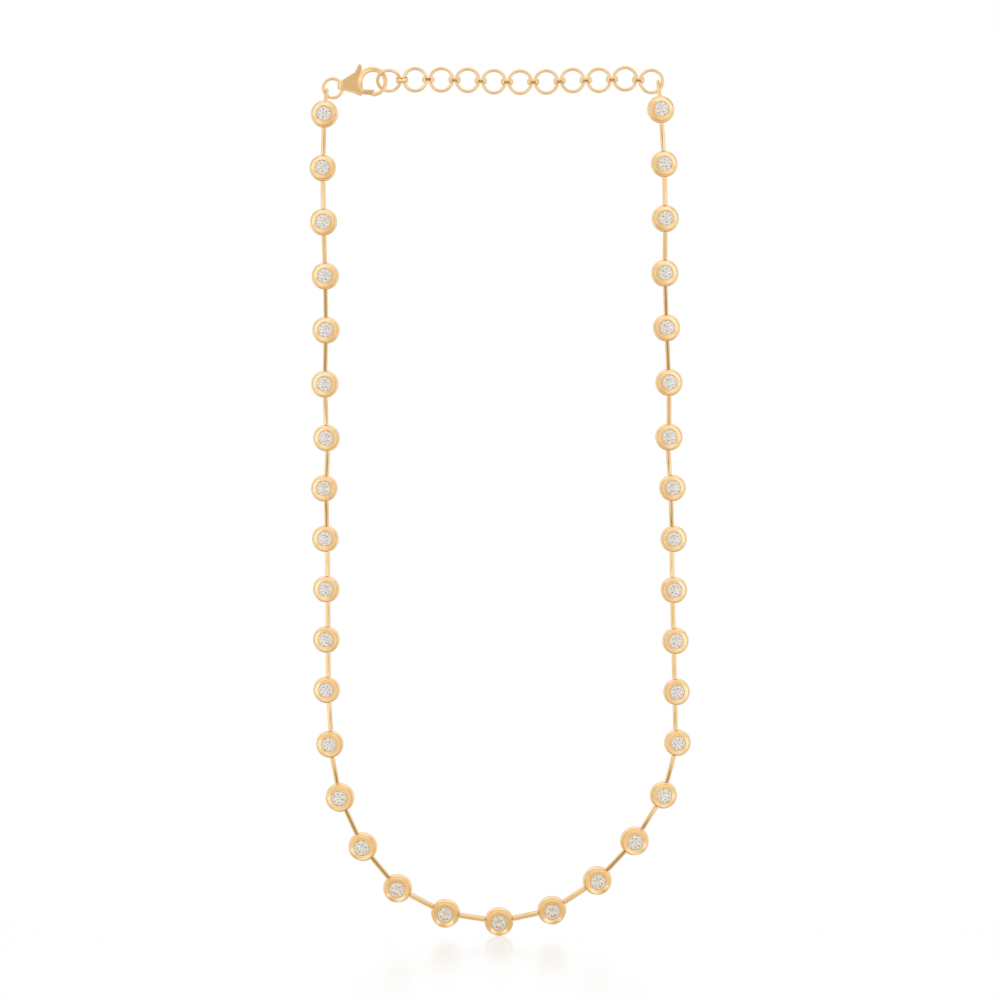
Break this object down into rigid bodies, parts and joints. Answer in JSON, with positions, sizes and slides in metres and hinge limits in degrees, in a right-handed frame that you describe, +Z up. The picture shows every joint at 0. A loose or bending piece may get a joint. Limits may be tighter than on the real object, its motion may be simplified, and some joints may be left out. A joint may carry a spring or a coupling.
{
  "type": "bezel-set bar station necklace with extender chain and lobster clasp",
  "caption": "Gold necklace of round bezel-set clear stones joined by straight bars, with a lobster clasp and a round-link extender, hanging open by its back strand.",
  "frame": {"origin": "middle of the back strand, where the necklace hangs, in the plane of the bars", "axes": "+X to the wearer's left as seen from the front, +Z up, the stones face -Y"},
  "size_m": [0.0799, 0.0041, 0.1825],
  "materials": {
    "gold": "polished yellow gold",
    "clasp_gold": "satin yellow gold on the flat faces",
    "stone": "near colourless cut stone"
  },
  "bodies": {
    "necklace": {"setting_01": "gold", "setting_02": "gold", "setting_03": "gold", "setting_04": "gold", "setting_05": "gold", "setting_06": "gold", "setting_07": "gold", "setting_08": "gold", "setting_09": "gold", "setting_10": "gold", "setting_11": "gold", "setting_12": "gold", "setting_13": "gold", "setting_14": "gold", "setting_15": "gold", "setting_16": "gold", "setting_17": "gold", "setting_18": "gold", "setting_19": "gold", "setting_20": "gold", "setting_21": "gold", "setting_22": "gold", "setting_23": "gold", "setting_24": "gold", "setting_25": "gold", "setting_26": "gold", "setting_27": "gold", "setting_28": "gold", "setting_29": "gold", "setting_30": "gold", "setting_31": "gold", "setting_32": "gold", "setting_33": "gold", "setting_34": "gold", "setting_35": "gold", "stones": "stone", "bars_left": "gold", "bars_right": "gold", "clasp_body": "clasp_gold", "jump_ring": "gold", "extender_rings": "gold", "extender_links": "gold"},
    "lever": {"clasp_lever": "clasp_gold"}
  },
  "joints": [
    {"name": "lever_pivot", "type": "hinge", "parent": "necklace", "child": "lever", "pos_m": [-0.0292, 0, -0.0013], "axis": [0, -1, 0], "range_deg": [0, 20], "stiffness_Nm_per_rad": 0.006, "springref_deg": -20.05}
  ]
}
